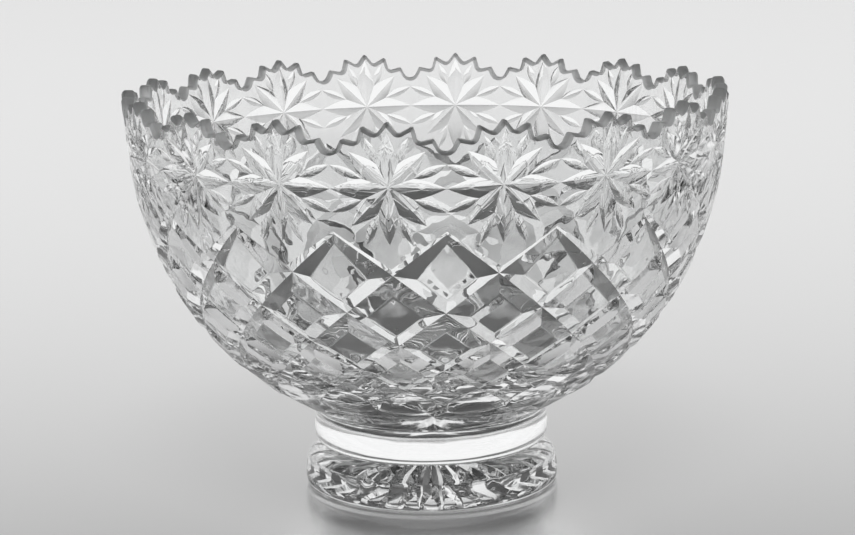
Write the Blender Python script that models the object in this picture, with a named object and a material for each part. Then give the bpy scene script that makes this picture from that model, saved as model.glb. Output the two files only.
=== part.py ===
"""Footed salad bowl in cut crystal: a star-banded bowl on a collar ring and a star-cut foot.

The three glass pieces meet on flat ground faces, with a thin film of clear bond between each pair.
The cut pattern is drawn on one half sector of the wall, unrolled flat, then mirrored and repeated.
Sizes are in millimetres. The origin is the centre of the foot's underside, with +Z up the axis.
"""

import math

import bmesh
import bpy
from mathutils import Matrix, Vector
from mathutils.geometry import delaunay_2d_cdt, interpolate_bezier

MILLIMETRE = 0.001

# Bowl, outside
REPEATS = 18  # stars around the wall, and columns of diamonds below them
BOWL_HEIGHT = 133.5  # from the bowl's ground base to the tips of its rim teeth
RIM_RADIUS = 122.65
RIM_LEAN = 5.0  # degrees outward from upright
RIM_HANDLE = 40.9  # length of the curve's handle below the rim
KNEE_RADIUS = 112.8  # where the upright band turns into the round lower wall
KNEE_RISE = 73.5  # height of the knee above the bowl's base
KNEE_LEAN = 18.35  # degrees
KNEE_HANDLE_UP = 20.6
KNEE_HANDLE_DOWN = 52.3
SEAM_RADIUS = 46.0  # the bowl's ground base, and the top of the collar
SEAM_SLOPE = 22.0  # degrees up from level, where the underside leaves the base
SEAM_HANDLE = 12.4

# Bowl, inside
RIM_WALL = 5.5
KNEE_WALL = 8.6
FLOOR_THICKNESS = 12.0
FLOOR_HANDLE = 62.0
INNER_KNEE_HANDLE = 52.0

# Star cut on each repeat
STAR_RAYS = 8
STAR_DEPTH = 2.4  # at the star's centre
SHOULDER_REACH = 10.1  # from the centre to where two long rays part
DIAGONAL_REACH = 19.3  # tips of the slanting long rays; the others meet those of the next star
SHORT_RAY_DEPTH = 1.1
SHORT_RAY_WIDTH = 3.6
TOP_RAY_REACH = 20.5  # tips of the short rays nearest the rim

# Rim teeth, laid out around each star's centre
TOOTH_REACH = 24.5
VALLEY_REACH = 19.9
VALLEY_ROUND = 0.6  # rise of a valley's rounded bottom
VALLEY_ROUND_TURN = 3.2  # degrees each side of the valley
NOTCH_RISE = 13.2  # bottom of the notch between two stars, above the stars' centres
NOTCH_WIDTH = 5.9

# Diamond lattice
LATTICE_DROP = 17.5  # from the stars' centres to the lattice's upper points
ROW_STEP = 0.845  # step from one level of crossings to the next, in half pitches
ROWS = 6
GROOVE_DEPTH = 2.7  # at the lattice's top, less where the bowl narrows
RUN_OUT_DEPTH = 1.1  # where the grooves begin and end
GROOVE_BANK = 4.3  # width of the bevel above the top grooves
TABLE_SHARE = 0.55  # a diamond's flat table, as a share of the diamond
HEM_DROP = 6.2  # how far the lowest row's rounded edge hangs below its corners

# Collar and bonds
BOND = 0.3
BOND_INSET = 0.2
COLLAR_HEIGHT = 14.2
COLLAR_RADIUS = 48.6
COLLAR_BELLY = 5.8  # height of the widest line above the collar's base
WAIST_RADIUS = 45.5  # base of the collar, and the top of the foot

# Foot
FOOT_HEIGHT = 16.7
FOOT_EDGE_RADIUS = 51.4
FOOT_EDGE_HEIGHT = 11.0
FOOT_RADIUS = 52.6
FOOT_BELLY_HEIGHT = 3.5
REST_RADIUS = 51.8  # outer edge of the flat ring that the foot stands on
BASE_RAYS = 32
BASE_RAY_REACH = 48.0
BASE_RAY_DEPTH = 3.0
BASE_SHOULDER_REACH = 24.0

# Glass
GLASS_INDEX = 1.54
GLASS_COLOUR = (0.97, 0.98, 0.98)
GLASS_ROUGHNESS = 0.02
BOND_COLOUR = (0.98, 0.98, 0.97)
BOND_ROUGHNESS = 0.05

# Fineness of the solids
CURVE_POINTS = 60
SECTOR_STEPS = 4  # across half a repeat, where the wall is plain
NOTCH_STEPS = 2
HEM_STEPS = 3
UNDERSIDE_RINGS = 2
RINGS_INSIDE = 9
FLOOR_RING = 7.5  # from the middle of the floor to the innermost ring
COLLAR_SEGMENTS = 72
COLLAR_ARC_POINTS = 4
MERGE_DISTANCE = 0.00001  # metres
SHARP_ANGLE = 12.0  # degrees

# Places worked out from the sizes above
COLLAR_BASE = FOOT_HEIGHT + BOND
COLLAR_TOP = COLLAR_BASE + COLLAR_HEIGHT
BOWL_BASE = COLLAR_TOP + BOND
HALF_TURN = math.pi / REPEATS  # half of one repeat, as an angle


class Profile:
    """A line in (radius, height), whose points are found by their distance along it from the rim."""

    def __init__(self, points):
        self.points = points
        self.marks = [0.0]
        for a, b in zip(points, points[1:]):
            self.marks.append(self.marks[-1] + (b - a).length)
        self.length = self.marks[-1]

    def at(self, distance):
        """The point at this distance, and the outward direction there."""
        k = 1
        while k < len(self.points) - 1 and self.marks[k] < distance:
            k += 1
        a, b = self.points[k - 1], self.points[k]
        along = (b - a).normalized()
        outward = Vector((-along.y, along.x))
        if distance >= self.length:
            return b, outward
        return a + along * (distance - self.marks[k - 1]), outward


def leaning(degrees):
    """A unit step up a wall that leans outward."""
    return Vector((math.sin(math.radians(degrees)), math.cos(math.radians(degrees))))


def curve(start, start_handle, end_handle, end):
    """Points of one curved stretch in (radius, height)."""
    solid = [p.to_3d() for p in (start, start_handle, end_handle, end)]
    return [p.to_2d() for p in interpolate_bezier(*solid, CURVE_POINTS)]


def outer_profile():
    """The uncut outside of the bowl, from its rim down to its ground base."""
    rim = Vector((RIM_RADIUS, BOWL_BASE + BOWL_HEIGHT))
    knee = Vector((KNEE_RADIUS, BOWL_BASE + KNEE_RISE))
    seam = Vector((SEAM_RADIUS, BOWL_BASE))
    slope = leaning(90.0 - SEAM_SLOPE)
    rim_handle = rim - leaning(RIM_LEAN) * RIM_HANDLE
    upper = curve(rim, rim_handle, knee + leaning(KNEE_LEAN) * KNEE_HANDLE_UP, knee)
    lower_handle = knee - leaning(KNEE_LEAN) * KNEE_HANDLE_DOWN
    lower = curve(knee, lower_handle, seam + slope * SEAM_HANDLE, seam)
    return Profile(upper + lower[1:-1] + [seam])


def inner_profile():
    """The inside of the bowl, from its rim down to the middle of its floor."""
    rim = Vector((RIM_RADIUS - RIM_WALL, BOWL_BASE + BOWL_HEIGHT))
    into_wall = Vector((-math.cos(math.radians(KNEE_LEAN)), math.sin(math.radians(KNEE_LEAN))))
    knee = Vector((KNEE_RADIUS, BOWL_BASE + KNEE_RISE)) + into_wall * KNEE_WALL
    floor = Vector((0.0, BOWL_BASE + FLOOR_THICKNESS))
    rim_handle = rim - leaning(RIM_LEAN) * RIM_HANDLE
    upper = curve(rim, rim_handle, knee + leaning(KNEE_LEAN) * KNEE_HANDLE_UP, knee)
    lower_handle = knee - leaning(KNEE_LEAN) * INNER_KNEE_HANDLE
    lower = curve(knee, lower_handle, floor + Vector((FLOOR_HANDLE, 0.0)), floor)
    return Profile(upper + lower[1:-1] + [floor])


def place(profile, turn, distance, depth=0.0):
    """A point on a wall, cut in by a depth, at a turn from the -Y axis."""
    point, outward = profile.at(distance)
    radius, height = point - outward * depth
    return Vector((radius * math.sin(turn), -radius * math.cos(turn), height)) * MILLIMETRE


class Drawing:
    """Points and lines on one half sector, unrolled: across it from the star, and down from the rim."""

    def __init__(self, half_width):
        self.half_width = half_width
        self.points = []
        self.depths = []
        self.lines = []

    def point(self, across, down, depth=0.0):
        self.points.append(Vector((across, -down)))
        self.depths.append(depth)
        return len(self.points) - 1

    def line(self, *ends):
        self.lines.extend(zip(ends, ends[1:]))

    def border(self, across):
        """Joins the points on one straight side of the sector, from the rim down."""
        side = [k for k, p in enumerate(self.points) if abs(p.x - across) < 1e-6]
        self.line(*sorted(side, key=lambda k: -self.points[k].y))

    def fill(self, bm, profile):
        """Triangles inside the drawing's outline, laid on a wall with their depths of cut."""
        corners, _, faces, sources, _, _ = delaunay_2d_cdt(self.points, self.lines, [], 1, 1e-5)
        verts = []
        for corner, source in zip(corners, sources):
            depth = self.depths[source[0]] if source else 0.0
            turn = corner.x / self.half_width * HALF_TURN
            verts.append(bm.verts.new(place(profile, turn, -corner.y, depth)))
        for face in faces:
            bm.faces.new([verts[k] for k in face])


def around_star(degrees, reach):
    """Across and down from the rim's top, at an angle from straight up and a reach from the star's centre."""
    angle = math.radians(degrees)
    return reach * math.sin(angle), TOOTH_REACH - reach * math.cos(angle)


def rim_outline(half_width):
    """The scalloped rim from the tall tooth above a star to the notch between two stars."""
    tooth_turn = 180.0 / STAR_RAYS
    outline = [around_star(0.0, TOOTH_REACH)]
    for k in range(2):
        valley = (k + 0.5) * tooth_turn
        outline.append(around_star(valley - VALLEY_ROUND_TURN, VALLEY_REACH + VALLEY_ROUND))
        outline.append(around_star(valley, VALLEY_REACH))
        outline.append(around_star(valley + VALLEY_ROUND_TURN, VALLEY_REACH + VALLEY_ROUND))
        outline.append(around_star((k + 1) * tooth_turn, TOOTH_REACH))
    notch = NOTCH_WIDTH / 2
    bottom = TOOTH_REACH - NOTCH_RISE
    for k in range(NOTCH_STEPS + 1):
        turn = math.pi / 2 * (1.0 - k / NOTCH_STEPS)
        outline.append((half_width - notch * math.sin(turn), bottom - notch * (1.0 - math.cos(turn))))
    return outline


def draw_star(drawing):
    """Long rays that share the star's deep centre, and short rays in the gaps between their tips."""
    half_width = drawing.half_width
    centre = drawing.point(*around_star(0.0, 0.0), STAR_DEPTH)
    turn = 360.0 / STAR_RAYS
    gaps = STAR_RAYS // 2
    reaches = [DIAGONAL_REACH if k % 2 else half_width for k in range(gaps + 1)]
    tips = [drawing.point(*around_star(k * turn, reach)) for k, reach in enumerate(reaches)]
    shoulders = [drawing.point(*around_star((k + 0.5) * turn, SHOULDER_REACH)) for k in range(gaps)]
    for k, tip in enumerate(tips):
        drawing.line(centre, tip)
        for shoulder in shoulders[max(k - 1, 0):k + 1]:
            drawing.line(tip, shoulder)
    for k, shoulder in enumerate(shoulders):
        drawing.line(centre, shoulder)
        draw_short_ray(drawing, shoulder, (k + 0.5) * turn)


def draw_short_ray(drawing, inner_tip, degrees):
    """One short ray, from the shoulder of two long rays out to its tip, with a keel along its middle."""
    reach = drawing.half_width / math.cos(math.radians(180.0 / STAR_RAYS))
    if degrees < 360.0 / STAR_RAYS:
        reach = TOP_RAY_REACH
    middle = (SHOULDER_REACH + reach) / 2
    spread = math.degrees(math.atan(SHORT_RAY_WIDTH / 2 / middle))
    keel = drawing.point(*around_star(degrees, middle), SHORT_RAY_DEPTH)
    tip = drawing.point(*around_star(degrees, reach))
    for side in (-spread, spread):
        flank = drawing.point(*around_star(degrees + side, middle))
        drawing.line(inner_tip, flank, tip)
        drawing.line(flank, keel)
    drawing.line(inner_tip, keel, tip)


def lattice_levels(profile, half_width):
    """Each crossing of the grooves, as across, down and depth: under the notches and the stars in turn."""
    levels = []
    down = TOOTH_REACH + LATTICE_DROP
    first_radius = profile.at(down)[0].x
    for k in range(ROWS + 1):
        radius = profile.at(down)[0].x
        depth = GROOVE_DEPTH * radius / first_radius
        if k in (0, ROWS):
            depth = RUN_OUT_DEPTH
        levels.append((half_width if k % 2 == 0 else 0.0, down, depth))
        down += ROW_STEP * radius * HALF_TURN
    return levels


def draw_lattice(drawing, levels):
    """Half of each diamond: sloping sides from the grooves up to a flat table, row below row."""
    crossings = [drawing.point(*level) for level in levels]
    for top, side, bottom in zip(range(ROWS), range(1, ROWS), range(2, ROWS + 1)):
        middle = Vector((levels[top][0], levels[side][1]))
        table = []
        for corner in (top, side, bottom):
            place_on_groove = Vector(levels[corner][:2])
            table.append(drawing.point(*middle.lerp(place_on_groove, TABLE_SHARE)))
            drawing.line(crossings[corner], table[-1])
        drawing.line(*table)
    drawing.line(*crossings)
    return crossings


def draw_bank(drawing, levels):
    """The bevel above the top grooves, narrow between the stars and full below them."""
    upper = drawing.point(levels[0][0], levels[0][1] - GROOVE_BANK * RUN_OUT_DEPTH / GROOVE_DEPTH)
    lower = drawing.point(levels[1][0], levels[1][1] - GROOVE_BANK)
    drawing.line(upper, lower)


def draw_hem(drawing, levels, last_crossing):
    """The lowest row's rounded edge, from the last crossing round to the line below the star."""
    half_width = drawing.half_width
    down = levels[-1][1]
    chain = [last_crossing if ROWS % 2 == 0 else drawing.point(half_width, down)]
    for k in range(1, HEM_STEPS + 1):
        turn = math.pi / 2 * (1.0 - k / HEM_STEPS)
        chain.append(drawing.point(half_width * math.sin(turn), down + HEM_DROP * math.cos(turn)))
    drawing.line(*chain)


def half_sector(bm, outer, inner):
    """Half of one repeat of the bowl, open on the two planes where its mirror images join."""
    star_radius = outer.at(TOOTH_REACH)[0].x
    half_width = star_radius * HALF_TURN
    outline = rim_outline(half_width)
    levels = lattice_levels(outer, half_width)

    outside = Drawing(half_width)
    outside.line(*[outside.point(*spot) for spot in outline])
    draw_star(outside)
    draw_bank(outside, levels)
    crossings = draw_lattice(outside, levels)
    draw_hem(outside, levels, crossings[-1])
    low = levels[-1][1] + HEM_DROP
    steps = [half_width * k / SECTOR_STEPS for k in range(SECTOR_STEPS + 1)]
    for k in range(UNDERSIDE_RINGS):
        for across in steps[::2]:
            outside.point(across, low + (outer.length - low) * (k + 1) / (UNDERSIDE_RINGS + 1))
    outside.line(*[outside.point(across, outer.length) for across in steps])
    outside.border(0.0)
    outside.border(half_width)
    outside.fill(bm, outer)

    inside = Drawing(half_width)
    inside.line(*[inside.point(*spot) for spot in outline])
    first_ring = TOOTH_REACH - NOTCH_RISE + RIM_WALL
    last_ring = inner.length - FLOOR_RING
    for k in range(RINGS_INSIDE):
        down = first_ring + (last_ring - first_ring) * k / (RINGS_INSIDE - 1)
        inside.line(*[inside.point(across, down) for across in steps[::2]])
    inside.border(0.0)
    inside.border(half_width)
    inside.fill(bm, inner)

    rim = [[bm.verts.new(place(wall, spot[0] / half_width * HALF_TURN, spot[1])) for spot in outline]
           for wall in (outer, inner)]
    for k in range(len(outline) - 1):
        bm.faces.new((rim[0][k], rim[0][k + 1], rim[1][k + 1], rim[1][k]))
    fan(bm, [place(inner, across / half_width * HALF_TURN, last_ring) for across in steps[::2]],
        Vector((0.0, 0.0, BOWL_BASE + FLOOR_THICKNESS)) * MILLIMETRE)
    fan(bm, [place(outer, across / half_width * HALF_TURN, outer.length) for across in steps],
        Vector((0.0, 0.0, BOWL_BASE)) * MILLIMETRE)


def fan(bm, edge, centre):
    """Triangles from a row of points to one point."""
    middle = bm.verts.new(centre)
    verts = [bm.verts.new(spot) for spot in edge]
    for a, b in zip(verts, verts[1:]):
        bm.faces.new((a, b, middle))


def repeat_around(bm, count):
    """Mirrors a half sector across its star's plane, turns it into a full ring and joins the seams."""
    half = bm.verts[:] + bm.edges[:] + bm.faces[:]
    mirrored = bmesh.ops.duplicate(bm, geom=half)["geom"]
    bmesh.ops.scale(bm, vec=(-1.0, 1.0, 1.0), verts=[g for g in mirrored if isinstance(g, bmesh.types.BMVert)])
    sector = bm.verts[:] + bm.edges[:] + bm.faces[:]
    for k in range(1, count):
        copy = bmesh.ops.duplicate(bm, geom=sector)["geom"]
        turn = Matrix.Rotation(2.0 * math.pi * k / count, 3, "Z")
        bmesh.ops.rotate(bm, matrix=turn, verts=[g for g in copy if isinstance(g, bmesh.types.BMVert)])
    bmesh.ops.remove_doubles(bm, verts=bm.verts[:], dist=MERGE_DISTANCE)
    bmesh.ops.dissolve_degenerate(bm, edges=bm.edges[:], dist=MERGE_DISTANCE / 10)
    bmesh.ops.recalc_face_normals(bm, faces=bm.faces[:])


def crystal(name, colour, roughness):
    """Clear glass of one piece."""
    material = bpy.data.materials.new(name)
    material.use_nodes = True
    shader = material.node_tree.nodes["Principled BSDF"]
    shader.inputs["Base Color"].default_value = (*colour, 1.0)
    shader.inputs["Metallic"].default_value = 0.0
    shader.inputs["Roughness"].default_value = roughness
    shader.inputs["IOR"].default_value = GLASS_INDEX
    shader.inputs["Transmission Weight"].default_value = 1.0
    return material


def add_piece(name, bm, material):
    """One finished piece, smooth where its faces run on and sharp at its cut edges."""
    mesh = bpy.data.meshes.new(name)
    bm.to_mesh(mesh)
    bm.free()
    mesh.materials.append(material)
    mesh.shade_smooth()
    mesh.set_sharp_from_angle(angle=math.radians(SHARP_ANGLE))
    piece = bpy.data.objects.new(name, mesh)
    bpy.context.collection.objects.link(piece)
    return piece


def make_bowl(material):
    bm = bmesh.new()
    half_sector(bm, outer_profile(), inner_profile())
    repeat_around(bm, REPEATS)
    return add_piece("bowl", bm, material)


def turned(name, outline, segments, material):
    """A solid turned from an outline in (radius, height) that starts and ends on the axis."""
    bm = bmesh.new()
    verts = [bm.verts.new(Vector((radius, 0.0, height)) * MILLIMETRE) for radius, height in outline]
    edges = [bm.edges.new(pair) for pair in zip(verts, verts[1:])]
    bmesh.ops.spin(bm, geom=verts + edges, cent=(0, 0, 0), axis=(0, 0, 1), angle=2.0 * math.pi,
                   steps=segments, use_merge=True)
    bmesh.ops.remove_doubles(bm, verts=bm.verts[:], dist=MERGE_DISTANCE)
    bmesh.ops.recalc_face_normals(bm, faces=bm.faces[:])
    return add_piece(name, bm, material)


def make_bond(name, base, radius, material):
    """The thin disc of clear bond between two ground faces."""
    edge = radius - BOND_INSET
    outline = [(0.0, base + BOND), (edge, base + BOND), (edge, base), (0.0, base)]
    return turned(name, outline, COLLAR_SEGMENTS, material)


def make_collar(material):
    """The ring between bowl and foot, with a belly made of two quarter ellipses."""
    belly = COLLAR_BASE + COLLAR_BELLY
    outline = [(0.0, COLLAR_TOP)]
    for k in range(COLLAR_ARC_POINTS + 1):
        turn = math.pi / 2 * (1.0 - k / COLLAR_ARC_POINTS)
        rise = (COLLAR_TOP - belly) * math.sin(turn)
        outline.append((SEAM_RADIUS + (COLLAR_RADIUS - SEAM_RADIUS) * math.cos(turn), belly + rise))
    for k in range(1, COLLAR_ARC_POINTS + 1):
        turn = math.pi / 2 * k / COLLAR_ARC_POINTS
        fall = COLLAR_BELLY * math.sin(turn)
        outline.append((WAIST_RADIUS + (COLLAR_RADIUS - WAIST_RADIUS) * math.cos(turn), belly - fall))
    outline.append((0.0, COLLAR_BASE))
    return turned("collar", outline, COLLAR_SEGMENTS, material)


def make_foot(material):
    """The round foot, with a star of grooves cut into its underside inside a flat standing ring."""
    half = math.pi / BASE_RAYS
    bm = bmesh.new()

    def spot(radius, turn, height):
        return bm.verts.new(Vector((radius * math.sin(turn), -radius * math.cos(turn), height)) * MILLIMETRE)

    centre = spot(0.0, 0.0, BASE_RAY_DEPTH)
    tip = spot(BASE_RAY_REACH, 0.0, 0.0)
    shoulder = spot(BASE_SHOULDER_REACH, half, 0.0)
    top = spot(0.0, 0.0, FOOT_HEIGHT)
    side = [(REST_RADIUS, 0.0), (FOOT_RADIUS, FOOT_BELLY_HEIGHT),
            (FOOT_EDGE_RADIUS, FOOT_EDGE_HEIGHT), (WAIST_RADIUS, FOOT_HEIGHT)]
    rows = [[spot(radius, turn, height) for radius, height in side] for turn in (0.0, half)]
    bm.faces.new((centre, tip, shoulder))
    bm.faces.new((tip, rows[0][0], rows[1][0]))
    bm.faces.new((tip, rows[1][0], shoulder))
    for k in range(len(side) - 1):
        bm.faces.new((rows[0][k], rows[0][k + 1], rows[1][k + 1], rows[1][k]))
    bm.faces.new((rows[0][-1], top, rows[1][-1]))
    repeat_around(bm, BASE_RAYS)
    return add_piece("foot", bm, material)


def main():
    for old in list(bpy.data.objects):
        bpy.data.objects.remove(old, do_unlink=True)
    make_bowl(crystal("bowl_crystal", GLASS_COLOUR, GLASS_ROUGHNESS))
    upper_film = crystal("upper_bond_film", BOND_COLOUR, BOND_ROUGHNESS)
    lower_film = crystal("lower_bond_film", BOND_COLOUR, BOND_ROUGHNESS)
    make_bond("upper_bond", COLLAR_TOP, SEAM_RADIUS, upper_film)
    make_collar(crystal("collar_crystal", GLASS_COLOUR, GLASS_ROUGHNESS))
    make_bond("lower_bond", FOOT_HEIGHT, WAIST_RADIUS, lower_film)
    make_foot(crystal("foot_crystal", GLASS_COLOUR, GLASS_ROUGHNESS))


main()
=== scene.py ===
"""Footed crystal salad bowl: a star-cut bowl, its collar and its foot, standing on a pale floor.

The bowl's cuts are drawn on one half sector of the wall, unrolled flat in millimetres, filled with
faces, laid on the wall and then mirrored and spun round the axis. The collar and foot are turned.
"""

import math

import bpy
from mathutils import Matrix, Vector
from mathutils.geometry import delaunay_2d_cdt, interpolate_bezier


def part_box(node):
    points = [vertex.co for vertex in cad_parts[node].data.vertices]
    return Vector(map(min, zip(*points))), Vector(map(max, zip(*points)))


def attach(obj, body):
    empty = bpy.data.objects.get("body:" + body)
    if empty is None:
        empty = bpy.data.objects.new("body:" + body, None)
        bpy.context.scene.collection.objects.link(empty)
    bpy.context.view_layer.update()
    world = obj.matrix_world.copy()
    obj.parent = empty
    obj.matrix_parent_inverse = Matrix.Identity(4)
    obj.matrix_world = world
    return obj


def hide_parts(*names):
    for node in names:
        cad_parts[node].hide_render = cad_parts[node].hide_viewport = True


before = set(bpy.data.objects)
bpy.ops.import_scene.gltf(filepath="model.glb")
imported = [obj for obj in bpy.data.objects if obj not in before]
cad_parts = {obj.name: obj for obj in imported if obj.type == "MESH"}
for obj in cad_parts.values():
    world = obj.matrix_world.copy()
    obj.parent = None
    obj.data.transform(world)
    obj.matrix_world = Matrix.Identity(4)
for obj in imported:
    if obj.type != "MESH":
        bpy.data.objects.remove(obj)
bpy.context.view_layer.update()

MM = 0.001
CLOSE = 0.01  # millimetres within which two places are the same
PLACE_DIGITS = 7  # decimals of a metre
LEVEL = 0.999  # least upright part of a level face's normal

# Places taken from the solids, in millimetres
BOWL_LOW, BOWL_HIGH = (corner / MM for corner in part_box("bowl"))
COLLAR_LOW, COLLAR_HIGH = (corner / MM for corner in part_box("collar"))
_, FOOT_HIGH = (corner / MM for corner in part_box("foot"))
JOINT_GAP = 0.02  # between a bonded end and its film, so that light meets them one by one
BOWL_BASE = BOWL_LOW.z + JOINT_GAP
RIM_TOP = BOWL_HIGH.z
RIM_RADIUS = BOWL_HIGH.y

# Bowl wall, as curves in radius and height
REPEATS = 18
RIM_LEAN = 5.0
RIM_HANDLE = 40.9
KNEE_RADIUS = 112.8
KNEE_RISE = 73.5
KNEE_LEAN = 18.35
KNEE_HANDLE_UP = 20.6
KNEE_HANDLE_DOWN = 52.3
SEAM_RADIUS = 46.0
SEAM_SLOPE = 22.0
SEAM_HANDLE = 12.4
RIM_WALL = 5.5
KNEE_WALL = 8.6
FLOOR_THICKNESS = 12.0
FLOOR_HANDLE = 62.0
INNER_KNEE_HANDLE = 52.0
WALL_POINTS = 240

# Star cuts: long V grooves that taper from a shoulder, deepest at the star's centre
STAR_RAYS = 8
SHOULDER_REACH = 9.3
DIAGONAL_REACH = 19.3
CORE_RISE = 0.2  # growth of a ray's half width from its shoulder back to the centre
RAY_TAPER = 1.45
KEEL_SLOPE = 16.0  # degrees that a groove's side leans from the wall at its keel
EDGE_SLOPE = 31.0  # and at its edge
SHORT_HALF_WIDTH = 1.7
TOP_RAY_REACH = 20.2
CORE_STEPS = 4
RAY_STEPS = 9
SHORT_STEPS = 8
SIDE_STEPS = 5

# Rim teeth around each star's centre, and the rounded lip along them
TOOTH_REACH = 24.5
TIP_RADIUS = 0.8
LEAST_TIP_RADIUS = 0.15  # left on a tip at the bottom of the lip
VALLEY_REACH = 20.0
VALLEY_RADIUS = 1.5
LAST_TOOTH_TURN = 43.2
NOTCH_RISE = 13.2
NOTCH_RADIUS = 2.95
LIP_FALL = 1.25
# Shares of the way through the wall, and of the fall
LIP_SECTION = [(0.0, 1.0), (0.05, 0.78), (0.1, 0.55), (0.15, 0.33), (0.2, 0.15), (0.26, 0.045), (0.33, 0.0),
               (0.5, 0.0), (0.7, 0.0), (0.8, 0.06), (0.88, 0.2), (0.95, 0.5), (1.0, 1.0)]
ROUND_STEPS = 6
NOTCH_STEPS = 10

# Diamond lattice
LATTICE_DROP = 17.5
ROW_STEP = 0.845
ROWS = 6
GROOVE_DEPTH = 2.7
RUN_OUT_DEPTH = 1.1
BANK_AT_TOP = 1.6
BANK_AT_VALLEY = 4.3
TABLE_SHARE = 0.55
TOP_TABLE_SHARE = 0.84
TABLE_ROUND = 0.04
BEVEL_STEPS = 4
GROOVE_STEPS = 5
HEM_DROP = 6.2
HEM_WIDTH = 1.2
HEM_DEPTH = 0.9
HEM_STEPS = 10

# Collar and foot
COLLAR_BELLY = 5.8
WAIST_RADIUS = 45.5
REST_RADIUS = 51.8
FOOT_SIDE = [(0.25, 0.8), (0.0, 3.5), (0.35, 7.5)]  # in from the widest ring, and height
FOOT_SHOULDER = [(51.65, 10.3), (50.9, 11.4), (48.4, 13.6), (46.2, 15.9)]  # radius and height
BASE_RAYS = 32
BASE_RAY_REACH = 48.0
BASE_RAY_DEPTH = 3.0
BASE_SHOULDER_REACH = 24.0
TURNED_SEGMENTS = 192
ARC_STEPS = 14
TURNED_SHARP_ANGLE = 30.0

# Fineness of the plain stretches of wall, and how far their points stay off the cuts
CUT_MARGIN = 0.9
TABLE_MARGIN = 0.05  # share of the way from a table's middle to its grooves
OUTER_RIM_MARGIN = 1.0
INNER_RIM_MARGIN = 1.5
WALL_STEP = 2.6
INNER_STEP = 4.0
INNER_COLUMNS = 5
FLOOR_RING = 7.5
SHARP_ANGLE = 12.0

# Materials of a mesh under construction
GLASS, BONDED, LIP = 0, 1, 2

# Camera, solved from the photograph
CAMERA_TURN = 6.70
CAMERA_DISTANCE = 0.8793
CAMERA_SIDE = -0.0004
CAMERA_HEIGHT = 0.2646
CAMERA_PITCH = 11.34
CAMERA_ROLL = -0.99
CAMERA_LENS = 91.63
CAMERA_SENSOR = 36.0

# Glass and studio
CRYSTAL_INDEX = 1.545
BOND_INDEX = 1.49
GLASS_TINT = (0.955, 0.96, 0.96)
# The lip's grey tint is painted shade, not a colour of the crystal
LIP_PAINTED_SHADE_TINT = (0.45, 0.455, 0.455)
LIP_ROUGHNESS = 0.45
FILM_HAZE = 0.03
WAVE_SCALE = 110.0
WAVE_HEIGHT = 0.0001
FLOOR_SIZE = 24.0
FLOOR_GAP = 0.0005
FLOOR_TONE = 0.6
FLOOR_ROUGHNESS = 0.25
# Shares of the coat's gloss, from the floor seen from above to the floor seen flat
COAT_SHARES = [(0.0, 0.0), (0.55, 0.0), (0.63, 0.2), (0.68, 0.9), (1.0, 0.95)]
# Tones of the room, from the floor's height to overhead
ROOM_TONES = [(0.0, 1.0), (0.23, 1.0), (0.38, 0.2), (0.6, 0.04), (1.0, 0.04)]
LAMP_RISE = 60.0
LAMP_POWER = 3.1
LAMP_SPREAD = 25.0
LIGHT_BOUNCES = 32
GLOSS_BOUNCES = 16
CLEAR_BOUNCES = 64

HALF_TURN = math.pi / REPEATS


class Wall:
    """A line in radius and height, found by the distance down it from the rim."""

    def __init__(self, points):
        self.points = points
        self.marks = [0.0]
        for a, b in zip(points, points[1:]):
            self.marks.append(self.marks[-1] + (b - a).length)
        self.length = self.marks[-1]

    def at(self, down):
        k = 1
        while k < len(self.points) - 1 and self.marks[k] < down:
            k += 1
        a, b = self.points[k - 1], self.points[k]
        along = (b - a).normalized()
        outward = Vector((-along.y, along.x))
        if down >= self.length:
            return b, outward
        return a + along * (down - self.marks[k - 1]), outward


def leaning(degrees):
    return Vector((math.sin(math.radians(degrees)), math.cos(math.radians(degrees))))


def curve(start, start_handle, end_handle, end):
    solid = [p.to_3d() for p in (start, start_handle, end_handle, end)]
    return [p.to_2d() for p in interpolate_bezier(*solid, WALL_POINTS)]


def outer_wall():
    rim = Vector((RIM_RADIUS, RIM_TOP))
    knee = Vector((KNEE_RADIUS, BOWL_BASE + KNEE_RISE))
    seam = Vector((SEAM_RADIUS, BOWL_BASE))
    rim_handle = rim - leaning(RIM_LEAN) * RIM_HANDLE
    upper = curve(rim, rim_handle, knee + leaning(KNEE_LEAN) * KNEE_HANDLE_UP, knee)
    seam_handle = seam + leaning(90.0 - SEAM_SLOPE) * SEAM_HANDLE
    lower = curve(knee, knee - leaning(KNEE_LEAN) * KNEE_HANDLE_DOWN, seam_handle, seam)
    return Wall(upper + lower[1:-1] + [seam])


def inner_wall():
    rim = Vector((RIM_RADIUS - RIM_WALL, RIM_TOP))
    inward = Vector((-math.cos(math.radians(KNEE_LEAN)), math.sin(math.radians(KNEE_LEAN))))
    knee = Vector((KNEE_RADIUS, BOWL_BASE + KNEE_RISE)) + inward * KNEE_WALL
    floor = Vector((0.0, BOWL_BASE + FLOOR_THICKNESS))
    rim_handle = rim - leaning(RIM_LEAN) * RIM_HANDLE
    upper = curve(rim, rim_handle, knee + leaning(KNEE_LEAN) * KNEE_HANDLE_UP, knee)
    floor_handle = floor + Vector((FLOOR_HANDLE, 0.0))
    lower = curve(knee, knee - leaning(KNEE_LEAN) * INNER_KNEE_HANDLE, floor_handle, floor)
    return Wall(upper + lower[1:-1] + [floor])


OUTER = outer_wall()
INNER = inner_wall()
HALF_WIDTH = OUTER.at(TOOTH_REACH)[0].x * HALF_TURN  # half a repeat at the stars' height


def on_wall(wall, across, down, depth=0.0):
    """A point of the unrolled sector in metres, cut in from a wall by a depth."""
    point, outward = wall.at(down)
    radius, height = point - outward * depth
    turn = across / HALF_WIDTH * HALF_TURN
    return Vector((radius * math.sin(turn), -radius * math.cos(turn), height)) * MM


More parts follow.
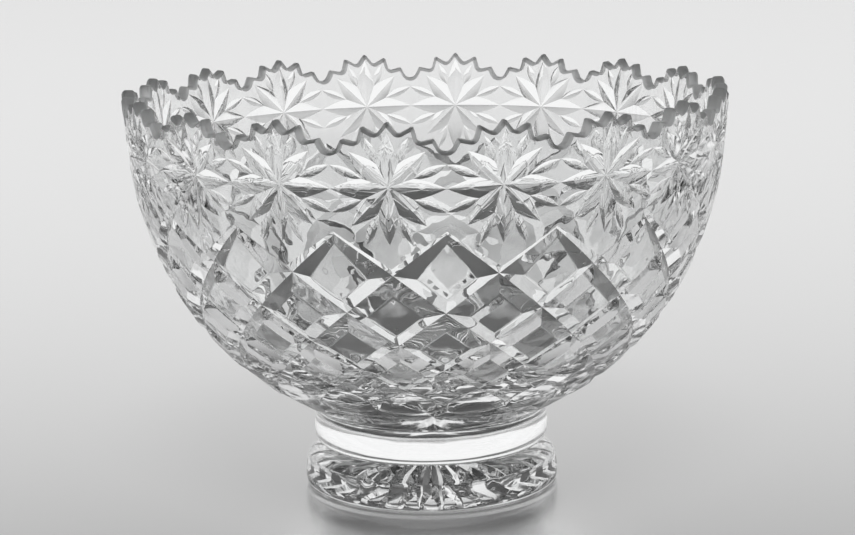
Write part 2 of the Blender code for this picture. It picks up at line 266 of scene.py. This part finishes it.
class Sheet:
    """A drawing of points and lines on the unrolled half sector, each point with its depth of cut."""

    def __init__(self):
        self.points = []
        self.depths = []
        self.lines = []
        self.known = {}

    def point(self, across, down, depth=0.0):
        key = (round(across, 4), round(down, 4))
        if key not in self.known:
            self.known[key] = len(self.points)
            self.points.append(Vector((across, -down)))
            self.depths.append(depth)
        return self.known[key]

    def line(self, *ends):
        self.lines.extend((a, b) for a, b in zip(ends, ends[1:]) if a != b)

    def border(self, across):
        side = [k for k, p in enumerate(self.points) if abs(p.x - across) < 1e-4]
        self.line(*sorted(side, key=lambda k: -self.points[k].y))

    def fill(self):
        """Corners as (across, down, depth) and triangles between them."""
        corners, _, faces, sources, _, _ = delaunay_2d_cdt(self.points, self.lines, [], 1, 1e-5)
        spots = []
        for corner, source in zip(corners, sources):
            spots.append((corner.x, -corner.y, self.depths[source[0]] if source else 0.0))
        return spots, [tuple(face) for face in faces]


class Shell:
    """Corners and faces of the half sector, in metres, each face with the material it will carry."""

    def __init__(self):
        self.corners = []
        self.faces = []
        self.kinds = []

    def add(self, corners, faces, kind=GLASS):
        first = len(self.corners)
        self.corners.extend(corners)
        self.faces.extend(tuple(first + k for k in face) for face in faces)
        self.kinds.extend(kind for _ in faces)

    def strips(self, rows, kind=GLASS):
        """Quads between rows of as many points each."""
        width = len(rows[0])
        faces = []
        for j in range(len(rows) - 1):
            for k in range(width - 1):
                a = j * width + k
                faces.append((a, a + 1, a + 1 + width, a + width))
        self.add([p for row in rows for p in row], faces, kind)

    def fan(self, edge, middle, kind=GLASS):
        self.add(edge + [middle], [(k, k + 1, len(edge)) for k in range(len(edge) - 1)], kind)

    def build(self, name):
        mesh = bpy.data.meshes.new(name)
        mesh.from_pydata(self.corners, [], self.faces)
        mesh.polygons.foreach_set("material_index", self.kinds)
        piece = bpy.data.objects.new(name, mesh)
        bpy.context.scene.collection.objects.link(piece)
        return piece


def around_star(degrees, reach, aside=0.0):
    """Across and down, at an angle from straight up, a reach from the star's centre and a step aside."""
    angle = math.radians(degrees)
    across = reach * math.sin(angle) + aside * math.cos(angle)
    up = reach * math.cos(angle) - aside * math.sin(angle)
    return across, TOOTH_REACH - up


def rim_corners():
    """Corners of the rim from a star's tall tooth to the last one, and the radius that rounds each."""
    turns = [0.0, 180.0 / STAR_RAYS, LAST_TOOTH_TURN]
    corners = []
    for k, turn in enumerate(turns):
        corners.append((Vector(around_star(turn, TOOTH_REACH)), TIP_RADIUS, False))
        if k < 2:
            valley = (k + 0.5) * 180.0 / STAR_RAYS
            corners.append((Vector(around_star(valley, VALLEY_REACH)), VALLEY_RADIUS, True))
    return corners


def arc(middle, start, end, steps):
    """Points round a middle, from one arm to another of the same length."""
    return [middle + start.slerp(end, k / steps).normalized() * start.length for k in range(steps + 1)]


def round_corner(corner, back, ahead, radius, hollow, distance):
    """Points that round a corner between two directions, moved into the glass by a distance."""
    half = back.angle(ahead) / 2
    middle_line = (back + ahead).normalized()
    inward = -middle_line if hollow else middle_line
    moved = corner + inward * (distance / math.sin(half))
    reach = radius + distance if hollow else max(radius - distance, LEAST_TIP_RADIUS)
    middle = moved + middle_line * (reach / math.sin(half))
    start = moved + back * (reach / math.tan(half)) - middle
    end = moved + ahead * (reach / math.tan(half)) - middle
    return arc(middle, start, end, ROUND_STEPS)


def rim_line(distance):
    """Across and down along the rim, moved into the glass by a distance."""
    corners = rim_corners()
    spots = [corner for corner, _, _ in corners]
    notch = Vector((HALF_WIDTH, TOOTH_REACH - NOTCH_RISE - NOTCH_RADIUS))
    to_notch = notch - spots[-1]
    lean = math.asin(NOTCH_RADIUS / to_notch.length)
    tangent = Matrix.Rotation(lean, 2) @ to_notch.normalized()
    touch = spots[-1] + tangent * math.sqrt(to_notch.length_squared - NOTCH_RADIUS ** 2)
    chain = [Vector((-spots[1].x, spots[1].y)), *spots, touch]
    line = []
    for k, (corner, radius, hollow) in enumerate(corners):
        back = (chain[k] - corner).normalized()
        ahead = (chain[k + 2] - corner).normalized()
        bend = round_corner(corner, back, ahead, radius, hollow, distance)
        line += bend[ROUND_STEPS // 2:] if k == 0 else bend
    line[0].x = 0.0
    reach = NOTCH_RADIUS + distance
    line += arc(notch, (touch - notch).normalized() * reach, Vector((0.0, reach)), NOTCH_STEPS)
    return line


def lip(shell):
    """The ground rim: a bevel up from the outer wall, a flat top, and a round down to the inner wall."""
    rows = []
    for share, fall in LIP_SECTION:
        line = rim_line(LIP_FALL * fall)
        rows.append([on_wall(OUTER, *p).lerp(on_wall(INNER, *p), share) for p in line])
    shell.strips(rows, LIP)


def rails(sheet, *lines):
    """Lines side by side, with the rungs between them."""
    for line in lines:
        sheet.line(*line)
    for rung in zip(*lines):
        sheet.line(*rung)


def hollow_depth(share):
    """Depth of a hollow-sided groove over its half width, at a share of the way from keel to edge."""
    keel = math.tan(math.radians(KEEL_SLOPE))
    edge = math.tan(math.radians(EDGE_SLOPE))
    return keel * (1.0 - share) + (edge - keel) / 2 * (1.0 - share * share)


def ray_end(degrees):
    return DIAGONAL_REACH if degrees % 90.0 else HALF_WIDTH


def ray_width(reach, end):
    """Half width of a ray; before its shoulder, the width it would have if its neighbours left room."""
    shoulder_width = SHOULDER_REACH * math.tan(math.pi / STAR_RAYS)
    if reach < SHOULDER_REACH:
        return shoulder_width + CORE_RISE * (SHOULDER_REACH - reach)
    return shoulder_width * (1.0 - ((reach - SHOULDER_REACH) / (end - SHOULDER_REACH)) ** RAY_TAPER)


def draw_star(sheet):
    turn = 360.0 / STAR_RAYS
    for k in range(STAR_RAYS // 2 + 1):
        for side in (-1.0, 1.0):
            if (k == 0 and side < 0) or (k == STAR_RAYS // 2 and side > 0):
                continue
            draw_ray_side(sheet, k * turn, side)
    for k in range(STAR_RAYS // 2):
        draw_short_ray(sheet, (k + 0.5) * turn, SHOULDER_REACH / math.cos(math.pi / STAR_RAYS))


def draw_ray_side(sheet, degrees, side):
    """One hollow side of a ray, bounded by its edge or by the ridge that it shares with the next ray."""
    end = ray_end(degrees)
    reaches = [SHOULDER_REACH * k / CORE_STEPS for k in range(CORE_STEPS)]
    reaches += [SHOULDER_REACH + (end - SHOULDER_REACH) * k / RAY_STEPS for k in range(RAY_STEPS + 1)]
    lines = []
    for j in range(SIDE_STEPS + 1):
        line = []
        for reach in reaches:
            width = ray_width(reach, end)
            aside = min(width, reach * math.tan(math.pi / STAR_RAYS)) * j / SIDE_STEPS
            depth = width * hollow_depth(aside / width) if width > 1e-6 else 0.0
            line.append(sheet.point(*around_star(degrees, reach, side * aside), depth))
        lines.append(line)
    rails(sheet, *lines)


def draw_short_ray(sheet, degrees, start):
    """A leaf-shaped cut between two rays."""
    end = HALF_WIDTH / math.cos(math.pi / STAR_RAYS)
    if degrees < 360.0 / STAR_RAYS:
        end = TOP_RAY_REACH
    for side in (-1.0, 1.0):
        lines = []
        for j in range(SIDE_STEPS + 1):
            line = []
            for k in range(SHORT_STEPS + 1):
                share = k / SHORT_STEPS
                width = SHORT_HALF_WIDTH * (1.0 - (2.0 * share - 1.0) ** 2)
                aside = side * width * j / SIDE_STEPS
                spot = around_star(degrees, start + (end - start) * share, aside)
                line.append(sheet.point(*spot, width * hollow_depth(j / SIDE_STEPS)))
            lines.append(line)
        rails(sheet, *lines)


def lattice_levels():
    """Each crossing of the grooves as across, down and depth, from the top level down."""
    levels = []
    down = TOOTH_REACH + LATTICE_DROP
    first = OUTER.at(down)[0].x
    for k in range(ROWS + 1):
        radius = OUTER.at(down)[0].x
        depth = RUN_OUT_DEPTH if k in (0, ROWS) else GROOVE_DEPTH * radius / first
        levels.append(Vector((HALF_WIDTH if k % 2 == 0 else 0.0, down, depth)))
        down += ROW_STEP * radius * HALF_TURN
    return levels


def stretch(sheet, start, end):
    """Points evenly along a straight stretch of the drawing, depth included."""
    return [sheet.point(*start.lerp(end, k / GROOVE_STEPS)) for k in range(GROOVE_STEPS + 1)]


def bevel_rings(share):
    """From a table's edge to its grooves: shares of the way out, each with a share of the depth."""
    steep = 1.0 / (1.0 - share)
    rings = []
    for step in (-1.0, -0.5, 0.0, 0.5, 1.0):
        rings.append((share + step * TABLE_ROUND, steep * TABLE_ROUND * (1.0 + step) ** 2 / 4))
    left = 1.0 - share - TABLE_ROUND
    for k in range(1, BEVEL_STEPS + 1):
        out = left * k / BEVEL_STEPS
        rings.append((share + TABLE_ROUND + out, steep * (TABLE_ROUND + out)))
    return rings


def draw_lattice(sheet, levels):
    """Raised diamonds: a flat table with rounded edges, and bevels down to the grooves."""
    for row, corners in enumerate(zip(levels, levels[1:], levels[2:])):
        middle = Vector((corners[0].x, corners[1].y, 0.0))
        shares = (TOP_TABLE_SHARE if row == 0 else TABLE_SHARE, TABLE_SHARE, TABLE_SHARE)
        tops, sides, bottoms = [], [], []
        for corner, share, spots in zip(corners, shares, (tops, sides, bottoms)):
            for out, deep in bevel_rings(share):
                spot = middle.lerp(corner, out)
                spot.z = corner.z * deep
                spots.append(spot)
        rails(sheet, *[stretch(sheet, a, b) for a, b in zip(tops, sides)])
        rails(sheet, *[stretch(sheet, a, b) for a, b in zip(sides, bottoms)])


def draw_bank(sheet, levels):
    """The bevel above the top grooves, narrow between the stars and full below them."""
    upper = Vector((levels[0].x, levels[0].y - BANK_AT_TOP, 0.0))
    lower = Vector((levels[1].x, levels[1].y - BANK_AT_VALLEY, 0.0))
    rails(sheet, stretch(sheet, levels[0], levels[1]), stretch(sheet, upper, lower))
    return upper, lower


def underside_depth(down, hem):
    """How far the plain underside lies behind the lattice, from the hem down to the seam."""
    return HEM_DEPTH * (OUTER.length - down) / (OUTER.length - hem)


def draw_hem(sheet, last):
    """The lowest row's rounded edge and the step down from it to the plain underside."""
    edge = [sheet.point(*last)]
    foot = [sheet.point(last.x, last.y + HEM_WIDTH, underside_depth(last.y + HEM_WIDTH, last.y))]
    for k in range(1, HEM_STEPS + 1):
        turn = math.pi / 2 * (1.0 - k / HEM_STEPS)
        across = HALF_WIDTH * math.sin(turn)
        edge.append(sheet.point(across, last.y + HEM_DROP * math.cos(turn)))
        down = last.y + (HEM_DROP + HEM_WIDTH) * math.cos(turn)
        down = max(down, last.y + HEM_WIDTH)
        foot.append(sheet.point(across, down, underside_depth(down, last.y)))
    rails(sheet, edge, foot)


def plain_spots(levels, bank):
    """Evenly spread points on the wall's uncut stretches: the panes, the tables and the underside."""
    low_rim = max(p.y for p in rim_line(LIP_FALL)) + OUTER_RIM_MARGIN
    columns = int(HALF_WIDTH / WALL_STEP) + 1
    rows = int(OUTER.length / WALL_STEP)
    hem = levels[-1].y
    for j in range(1, rows):
        for k in range(columns + 1):
            across = HALF_WIDTH * k / columns
            down = OUTER.length * j / rows
            if is_plain(across, down, levels, bank, low_rim):
                yield across, down, underside_depth(down, hem) if down > hem + HEM_DROP else 0.0


def is_plain(across, down, levels, bank, low_rim):
    if down < low_rim:
        return False
    border = bank[1].lerp(bank[0], across / HALF_WIDTH).y
    if down < border - CUT_MARGIN:
        dx, up = across, TOOTH_REACH - down
        reach = math.hypot(dx, up)
        if reach < SHOULDER_REACH / math.cos(math.pi / STAR_RAYS) + CUT_MARGIN:
            return False
        turn = math.degrees(math.atan2(dx, up))
        step = 180.0 / STAR_RAYS
        nearest = round(turn / step)
        off = math.radians(turn - nearest * step)
        along, aside = reach * math.cos(off), abs(reach * math.sin(off))
        limit = ray_width(min(along, HALF_WIDTH), HALF_WIDTH) if nearest % 2 == 0 else SHORT_HALF_WIDTH
        return aside > limit + CUT_MARGIN
    for top, side, bottom in zip(levels, levels[1:], levels[2:]):
        height = (side.y - top.y) if down < side.y else (bottom.y - side.y)
        share = abs(across - top.x) / HALF_WIDTH + abs(down - side.y) / height
        if share < TABLE_SHARE - TABLE_ROUND - TABLE_MARGIN:
            return True
    return down > levels[-1].y + HEM_DROP + HEM_WIDTH + CUT_MARGIN


def half_sector():
    """Half of one repeat of the bowl, open on the two planes where its mirror images join."""
    shell = Shell()
    lip(shell)
    edge = rim_line(LIP_FALL)

    levels = lattice_levels()
    outside = Sheet()
    outside.line(*[outside.point(*p) for p in edge])
    draw_star(outside)
    bank = draw_bank(outside, levels)
    draw_lattice(outside, levels)
    draw_hem(outside, levels[-1])
    for spot in plain_spots(levels, bank):
        outside.point(*spot)
    columns = [HALF_WIDTH * k / INNER_COLUMNS for k in range(INNER_COLUMNS + 1)]
    outside.line(*[outside.point(across, OUTER.length) for across in columns])
    outside.border(0.0)
    outside.border(HALF_WIDTH)
    spots, faces = outside.fill()
    shell.add([on_wall(OUTER, *spot) for spot in spots], faces)

    inside = Sheet()
    inside.line(*[inside.point(*p) for p in edge])
    last = INNER.length - FLOOR_RING
    first = max(p.y for p in edge) + INNER_RIM_MARGIN
    rows = int((last - first) / INNER_STEP)
    for j in range(rows + 1):
        down = first + (last - first) * j / rows
        ring = [inside.point(across, down) for across in columns]
    inside.line(*ring)
    inside.border(0.0)
    inside.border(HALF_WIDTH)
    spots, faces = inside.fill()
    shell.add([on_wall(INNER, *spot) for spot in spots], faces)

    shell.fan([on_wall(INNER, across, last) for across in columns],
              Vector((0.0, 0.0, BOWL_BASE + FLOOR_THICKNESS)) * MM)
    shell.fan([on_wall(OUTER, across, OUTER.length) for across in columns],
              Vector((0.0, 0.0, BOWL_BASE)) * MM, BONDED)
    return shell


def clear_selection():
    """Object mode, with nothing selected."""
    if bpy.context.mode != "OBJECT":
        bpy.ops.object.mode_set(mode="OBJECT")
    bpy.ops.object.select_all(action="DESELECT")


def edit(piece):
    """Edit mode on one piece, with all of it selected."""
    clear_selection()
    bpy.context.view_layer.objects.active = piece
    piece.select_set(True)
    bpy.ops.object.mode_set(mode="EDIT")
    bpy.ops.mesh.select_mode(type="VERT")
    bpy.ops.mesh.select_all(action="SELECT")


def spin_copies(piece, count):
    """Mirrors a half sector, copies it round the axis and closes the seams."""
    edit(piece)
    bpy.ops.mesh.duplicate()
    bpy.ops.transform.resize(value=(-1.0, 1.0, 1.0), center_override=(0.0, 0.0, 0.0))
    bpy.ops.mesh.select_all(action="SELECT")
    bpy.ops.mesh.spin(steps=count - 1, dupli=True, angle=2.0 * math.pi * (count - 1) / count,
                      center=(0.0, 0.0, 0.0), axis=(0.0, 0.0, 1.0))
    bpy.ops.mesh.select_all(action="SELECT")
    bpy.ops.mesh.remove_doubles(threshold=CLOSE * MM)
    bpy.ops.mesh.normals_make_consistent(inside=False)
    bpy.ops.object.mode_set(mode="OBJECT")


def finish_glass(piece, materials, smooth_angle):
    """Shades a piece smooth but for its cut edges, and gives it its glass."""
    for material in materials:
        piece.data.materials.append(material)
    clear_selection()
    bpy.context.view_layer.objects.active = piece
    piece.select_set(True)
    bpy.ops.object.shade_smooth_by_angle(angle=math.radians(smooth_angle))
    soften_lip(piece.data)


def kinds_by_edge(mesh):
    """The materials of the faces that meet at each edge."""
    kinds = {}
    for face in mesh.polygons:
        for key in face.edge_keys:
            kinds.setdefault(key, []).append(face.material_index)
    return kinds


def soften_lip(mesh):
    """No edge within the lip stays sharp."""
    kinds = kinds_by_edge(mesh)
    for line in mesh.edges:
        if kinds[line.key] == [LIP, LIP]:
            line.use_edge_sharp = False


def make_bowl(materials):
    piece = half_sector().build("cut_bowl")
    spin_copies(piece, REPEATS)
    finish_glass(piece, materials, SHARP_ANGLE)
    return piece


def bond_ends(piece, heights):
    """The flat ends at these heights carry the bond to the next piece, and have crisp edges."""
    for face in piece.data.polygons:
        at_end = any(abs(face.center.z / MM - height) < CLOSE for height in heights)
        if at_end and abs(face.normal.z) > LEVEL:
            face.material_index = BONDED
    kinds = kinds_by_edge(piece.data)
    for line in piece.data.edges:
        if len(set(kinds[line.key])) == 2:
            line.use_edge_sharp = True


def select_where(piece, wanted):
    """Edit mode, with only those corners selected whose place in millimetres is wanted."""
    edit(piece)
    bpy.ops.mesh.select_all(action="DESELECT")
    bpy.ops.object.mode_set(mode="OBJECT")
    for corner in piece.data.vertices:
        corner.select = wanted(corner.co / MM)
    bpy.ops.object.mode_set(mode="EDIT")


def is_on_ring(place, radius, height):
    return abs(place.xy.length - radius) < CLOSE and abs(place.z - height) < CLOSE


def draw_turned(name, outline):
    """A turned body: a circle, extruded ring by ring along an outline in radius and height."""
    clear_selection()
    radius, height = outline[0]
    bpy.ops.mesh.primitive_circle_add(vertices=TURNED_SEGMENTS, radius=radius * MM,
                                      location=(0.0, 0.0, height * MM))
    piece = bpy.context.active_object
    piece.name = name
    piece.data.name = name
    bpy.ops.object.transform_apply(location=True, rotation=True, scale=True)
    edit(piece)
    for (radius, height), (next_radius, next_height) in zip(outline, outline[1:]):
        rise = (next_height - height) * MM
        size = next_radius / radius
        bpy.ops.mesh.extrude_edges_move(TRANSFORM_OT_translate={"value": (0.0, 0.0, rise)})
        bpy.ops.transform.resize(value=(size, size, 1.0), center_override=(0.0, 0.0, next_height * MM))
    bpy.ops.object.mode_set(mode="OBJECT")
    return piece


def fill_end(piece, wanted):
    """Fills the flat end that the wanted corners bound, with faces that meet on the axis."""
    select_where(piece, wanted)
    bpy.ops.mesh.edge_face_add()
    bpy.ops.mesh.poke()
    bpy.ops.object.mode_set(mode="OBJECT")


def face_outward(piece):
    edit(piece)
    bpy.ops.mesh.normals_make_consistent(inside=False)
    bpy.ops.object.mode_set(mode="OBJECT")


def number_in_order(piece):
    """Numbers a turned piece's corners from the floor up and round the axis, alike on every run."""
    mesh = piece.data
    # Adding zero makes a negative zero plain
    corners = [Vector([round(part, PLACE_DIGITS) + 0.0 for part in v.co]) for v in mesh.vertices]

    def order(k):
        place = corners[k] / MM
        return round(place.z, 2), round(place.xy.length, 2), math.atan2(place.x, -place.y)

    ordered = sorted(range(len(corners)), key=order)
    numbers = {old: new for new, old in enumerate(ordered)}
    faces = []
    for face in mesh.polygons:
        ring = [numbers[k] for k in face.vertices]
        first = ring.index(min(ring))
        faces.append(tuple(ring[first:] + ring[:first]))
    mesh.clear_geometry()
    mesh.from_pydata([corners[k] for k in ordered], [], sorted(faces))


def make_collar(materials):
    """The bulged ring, its belly made of two quarter ellipses."""
    low, high = COLLAR_LOW.z + JOINT_GAP, COLLAR_HIGH.z - JOINT_GAP
    widest = COLLAR_HIGH.y
    belly = COLLAR_LOW.z + COLLAR_BELLY
    outline = []
    for k in range(ARC_STEPS + 1):
        turn = math.pi / 2 * (1.0 - k / ARC_STEPS)
        outline.append((SEAM_RADIUS + (widest - SEAM_RADIUS) * math.cos(turn),
                        belly + (high - belly) * math.sin(turn)))
    for k in range(1, ARC_STEPS + 1):
        turn = math.pi / 2 * k / ARC_STEPS
        outline.append((WAIST_RADIUS + (widest - WAIST_RADIUS) * math.cos(turn),
                        belly - (belly - low) * math.sin(turn)))
    piece = draw_turned("collar_ring", outline)
    fill_end(piece, lambda place: is_on_ring(place, SEAM_RADIUS, high))
    fill_end(piece, lambda place: is_on_ring(place, WAIST_RADIUS, low))
    face_outward(piece)
    number_in_order(piece)
    finish_glass(piece, materials, TURNED_SHARP_ANGLE)
    bond_ends(piece, [low, high])
    return piece


def star_reach(turn):
    """Reach of the base star's outline, at a turn from the tip of the nearest ray."""
    tip = Vector((BASE_RAY_REACH, 0.0))
    half = math.pi / BASE_RAYS
    edge = Vector((math.cos(half), math.sin(half))) * BASE_SHOULDER_REACH - tip
    aim = Vector((math.cos(turn), math.sin(turn)))
    return tip.cross(edge) / aim.cross(edge)


def cut_base_star(piece):
    """Draws the underside's circle in to a star, and lifts its middle into V grooves."""
    steps_per_ray = TURNED_SEGMENTS // BASE_RAYS
    step_turn = 2.0 * math.pi / TURNED_SEGMENTS

    def steps_from_tip(place):
        step = round(math.atan2(place.x, -place.y) / step_turn) % steps_per_ray
        return min(step, steps_per_ray - step)

    for step in range(1, steps_per_ray // 2 + 1):
        select_where(piece, lambda place: is_on_ring(place, BASE_RAY_REACH, 0.0)
                     and steps_from_tip(place) == step)
        size = star_reach(step * step_turn) / BASE_RAY_REACH
        bpy.ops.transform.resize(value=(size, size, 1.0), center_override=(0.0, 0.0, 0.0))
    fill_end(piece, lambda place: place.z < CLOSE and place.xy.length < BASE_RAY_REACH + CLOSE)
    select_where(piece, lambda place: place.z < CLOSE and place.xy.length < CLOSE)
    bpy.ops.transform.translate(value=(0.0, 0.0, BASE_RAY_DEPTH * MM))
    bpy.ops.object.mode_set(mode="OBJECT")


def make_foot(materials):
    """The foot: its standing ring and turned side, its bonded top, and the star below it."""
    top = FOOT_HIGH.z - JOINT_GAP
    widest = FOOT_HIGH.y
    outline = [(BASE_RAY_REACH, 0.0), (REST_RADIUS, 0.0)]
    outline += [(widest - inset, height) for inset, height in FOOT_SIDE]
    outline += FOOT_SHOULDER + [(WAIST_RADIUS, top)]
    piece = draw_turned("star_foot", outline)
    fill_end(piece, lambda place: is_on_ring(place, WAIST_RADIUS, top))
    cut_base_star(piece)
    face_outward(piece)
    number_in_order(piece)
    finish_glass(piece, materials, TURNED_SHARP_ANGLE)
    bond_ends(piece, [top])
    sharpen_star(piece.data)
    return piece


def sharpen_star(mesh):
    """Crisp edges round and within the base star."""
    inside = [v.co.z < (BASE_RAY_DEPTH + CLOSE) * MM and v.co.xy.length < (BASE_RAY_REACH + CLOSE) * MM
              for v in mesh.vertices]
    for line in mesh.edges:
        if all(inside[k] for k in line.vertices):
            line.use_edge_sharp = True


def clear_glass(name, index, tint=(1.0, 1.0, 1.0), roughness=0.0):
    """A clear material that bends light by its index."""
    material = bpy.data.materials.new(name)
    material.use_nodes = True
    shader = material.node_tree.nodes["Principled BSDF"]
    shader.inputs["Base Color"].default_value = (*tint, 1.0)
    shader.inputs["Roughness"].default_value = roughness
    shader.inputs["IOR"].default_value = index
    shader.inputs["Transmission Weight"].default_value = 1.0
    return material, shader


def add_waves(material, shader):
    """The faint waves of pressed and fire-polished glass."""
    nodes, links = material.node_tree.nodes, material.node_tree.links
    place = nodes.new("ShaderNodeTexCoord")
    waves = nodes.new("ShaderNodeTexNoise")
    waves.inputs["Scale"].default_value = WAVE_SCALE
    waves.inputs["Detail"].default_value = 1.0
    bump = nodes.new("ShaderNodeBump")
    bump.inputs["Strength"].default_value = 1.0
    bump.inputs["Distance"].default_value = WAVE_HEIGHT
    links.new(place.outputs["Object"], waves.inputs["Vector"])
    links.new(waves.outputs[0], bump.inputs["Height"])
    links.new(bump.outputs["Normal"], shader.inputs["Normal"])


def crystal():
    """Polished lead crystal."""
    material, shader = clear_glass("polished_crystal", CRYSTAL_INDEX, GLASS_TINT)
    add_waves(material, shader)
    return material


def bonded_crystal():
    """A bonded end, where light crosses from the crystal into the bond or grazes the joint."""
    return clear_glass("bonded_crystal", CRYSTAL_INDEX / BOND_INDEX)[0]


def ground_crystal_painted_shade():
    """The lip, ground and only half polished, which gives its roughness; its grey tint is painted shade, a
    darkening that stands in for the shaded floor the lip looks down onto through the glass.
    """
    material, shader = clear_glass("ground_crystal_painted_shade", CRYSTAL_INDEX, LIP_PAINTED_SHADE_TINT, LIP_ROUGHNESS)
    add_waves(material, shader)
    return material


def clear_bond():
    """The film between two bonded ends, which already bend the light: clear, with a faint haze."""
    material, shader = clear_glass("clear_bond", BOND_INDEX)
    nodes, links = material.node_tree.nodes, material.node_tree.links
    place = nodes.new("ShaderNodeTexCoord")
    cloud = nodes.new("ShaderNodeTexNoise")
    cloud.inputs["Scale"].default_value = WAVE_SCALE
    haze = nodes.new("ShaderNodeMapRange")
    haze.inputs["From Min"].default_value = 0.5
    haze.inputs["To Max"].default_value = FILM_HAZE
    links.new(place.outputs["Object"], cloud.inputs["Vector"])
    links.new(cloud.outputs[0], haze.inputs["Value"])
    links.new(haze.outputs["Result"], shader.inputs["Alpha"])
    return material


def tone_ramp(nodes, stops):
    """A colour ramp of greys, from places and tones."""
    ramp = nodes.new("ShaderNodeValToRGB")
    ramp.color_ramp.interpolation = "EASE"
    for k, (place, tone) in enumerate(stops):
        stop = ramp.color_ramp.elements[k] if k < 2 else ramp.color_ramp.elements.new(place)
        stop.position = place
        stop.color = (tone, tone, tone, 1.0)
    return ramp


def make_floor():
    """A plain pale floor under a satin coat, which mirrors the backdrop where it is seen at a low angle."""
    clear_selection()
    bpy.ops.mesh.primitive_plane_add(size=FLOOR_SIZE, location=(0.0, 0.0, -FLOOR_GAP))
    floor = bpy.context.active_object
    floor.name = "satin_floor"
    material = bpy.data.materials.new("satin_floor")
    material.use_nodes = True
    nodes, links = material.node_tree.nodes, material.node_tree.links
    nodes.clear()
    out = nodes.new("ShaderNodeOutputMaterial")
    satin = nodes.new("ShaderNodeMixShader")
    matt = nodes.new("ShaderNodeBsdfDiffuse")
    matt.inputs["Color"].default_value = (FLOOR_TONE, FLOOR_TONE, FLOOR_TONE, 1.0)
    coat = nodes.new("ShaderNodeBsdfAnisotropic")
    coat.inputs["Color"].default_value = (1.0, 1.0, 1.0, 1.0)
    coat.inputs["Roughness"].default_value = FLOOR_ROUGHNESS
    view = nodes.new("ShaderNodeLayerWeight")
    share = tone_ramp(nodes, COAT_SHARES)
    links.new(view.outputs["Facing"], share.inputs[0])
    links.new(share.outputs[0], satin.inputs[0])
    links.new(matt.outputs[0], satin.inputs[1])
    links.new(coat.outputs[0], satin.inputs[2])
    links.new(satin.outputs[0], out.inputs["Surface"])
    floor.data.materials.append(material)


def make_world():
    """A room with a low white backdrop all round, dim overhead."""
    world = bpy.data.worlds.new("room")
    bpy.context.scene.world = world
    world.use_nodes = True
    nodes, links = world.node_tree.nodes, world.node_tree.links
    place = nodes.new("ShaderNodeTexCoord")
    parts = nodes.new("ShaderNodeSeparateXYZ")
    tones = tone_ramp(nodes, ROOM_TONES)
    links.new(place.outputs["Generated"], parts.inputs[0])
    links.new(parts.outputs["Z"], tones.inputs[0])
    links.new(tones.outputs[0], nodes["Background"].inputs["Color"])


def add_lamp():
    """A soft lamp high on the camera's side, so that the bowl's shadow falls below it and behind it."""
    light = bpy.data.lights.new("high_lamp", "SUN")
    light.energy = LAMP_POWER
    light.angle = math.radians(LAMP_SPREAD)
    lamp = bpy.data.objects.new("high_lamp", light)
    bpy.context.scene.collection.objects.link(lamp)
    lamp.rotation_euler = (math.radians(90.0 - LAMP_RISE), 0.0, math.radians(CAMERA_TURN))
    lamp.visible_glossy = False
    lamp.visible_transmission = False


def make_camera():
    data = bpy.data.cameras.new("camera")
    data.lens = CAMERA_LENS
    data.sensor_width = CAMERA_SENSOR
    camera = bpy.data.objects.new("camera", data)
    bpy.context.scene.collection.objects.link(camera)
    around = Matrix.Rotation(math.radians(CAMERA_TURN), 4, "Z")
    tilt = Matrix.Rotation(math.radians(90.0 - CAMERA_PITCH), 4, "X")
    roll = Matrix.Rotation(math.radians(CAMERA_ROLL), 4, "Z")
    place = Matrix.Translation((CAMERA_SIDE, -CAMERA_DISTANCE, CAMERA_HEIGHT))
    camera.matrix_world = around @ place @ tilt @ roll
    bpy.context.scene.camera = camera


def main():
    make_camera()
    glass = [crystal(), bonded_crystal(), ground_crystal_painted_shade()]
    bond = clear_bond()
    bowl = make_bowl(glass)
    collar = make_collar(glass)
    foot = make_foot(glass)
    for piece, node in ((bowl, "bowl"), (collar, "collar"), (foot, "foot")):
        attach(piece, "root")
        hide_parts(node)
    for node in ("upper_bond", "lower_bond"):
        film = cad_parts[node]
        film.data.materials.clear()
        film.data.materials.append(bond)
    make_floor()
    make_world()
    add_lamp()
    scene = bpy.context.scene
    scene.view_settings.view_transform = "Standard"
    scene.cycles.max_bounces = LIGHT_BOUNCES
    scene.cycles.transmission_bounces = LIGHT_BOUNCES
    scene.cycles.glossy_bounces = GLOSS_BOUNCES
    scene.cycles.transparent_max_bounces = CLEAR_BOUNCES


main()
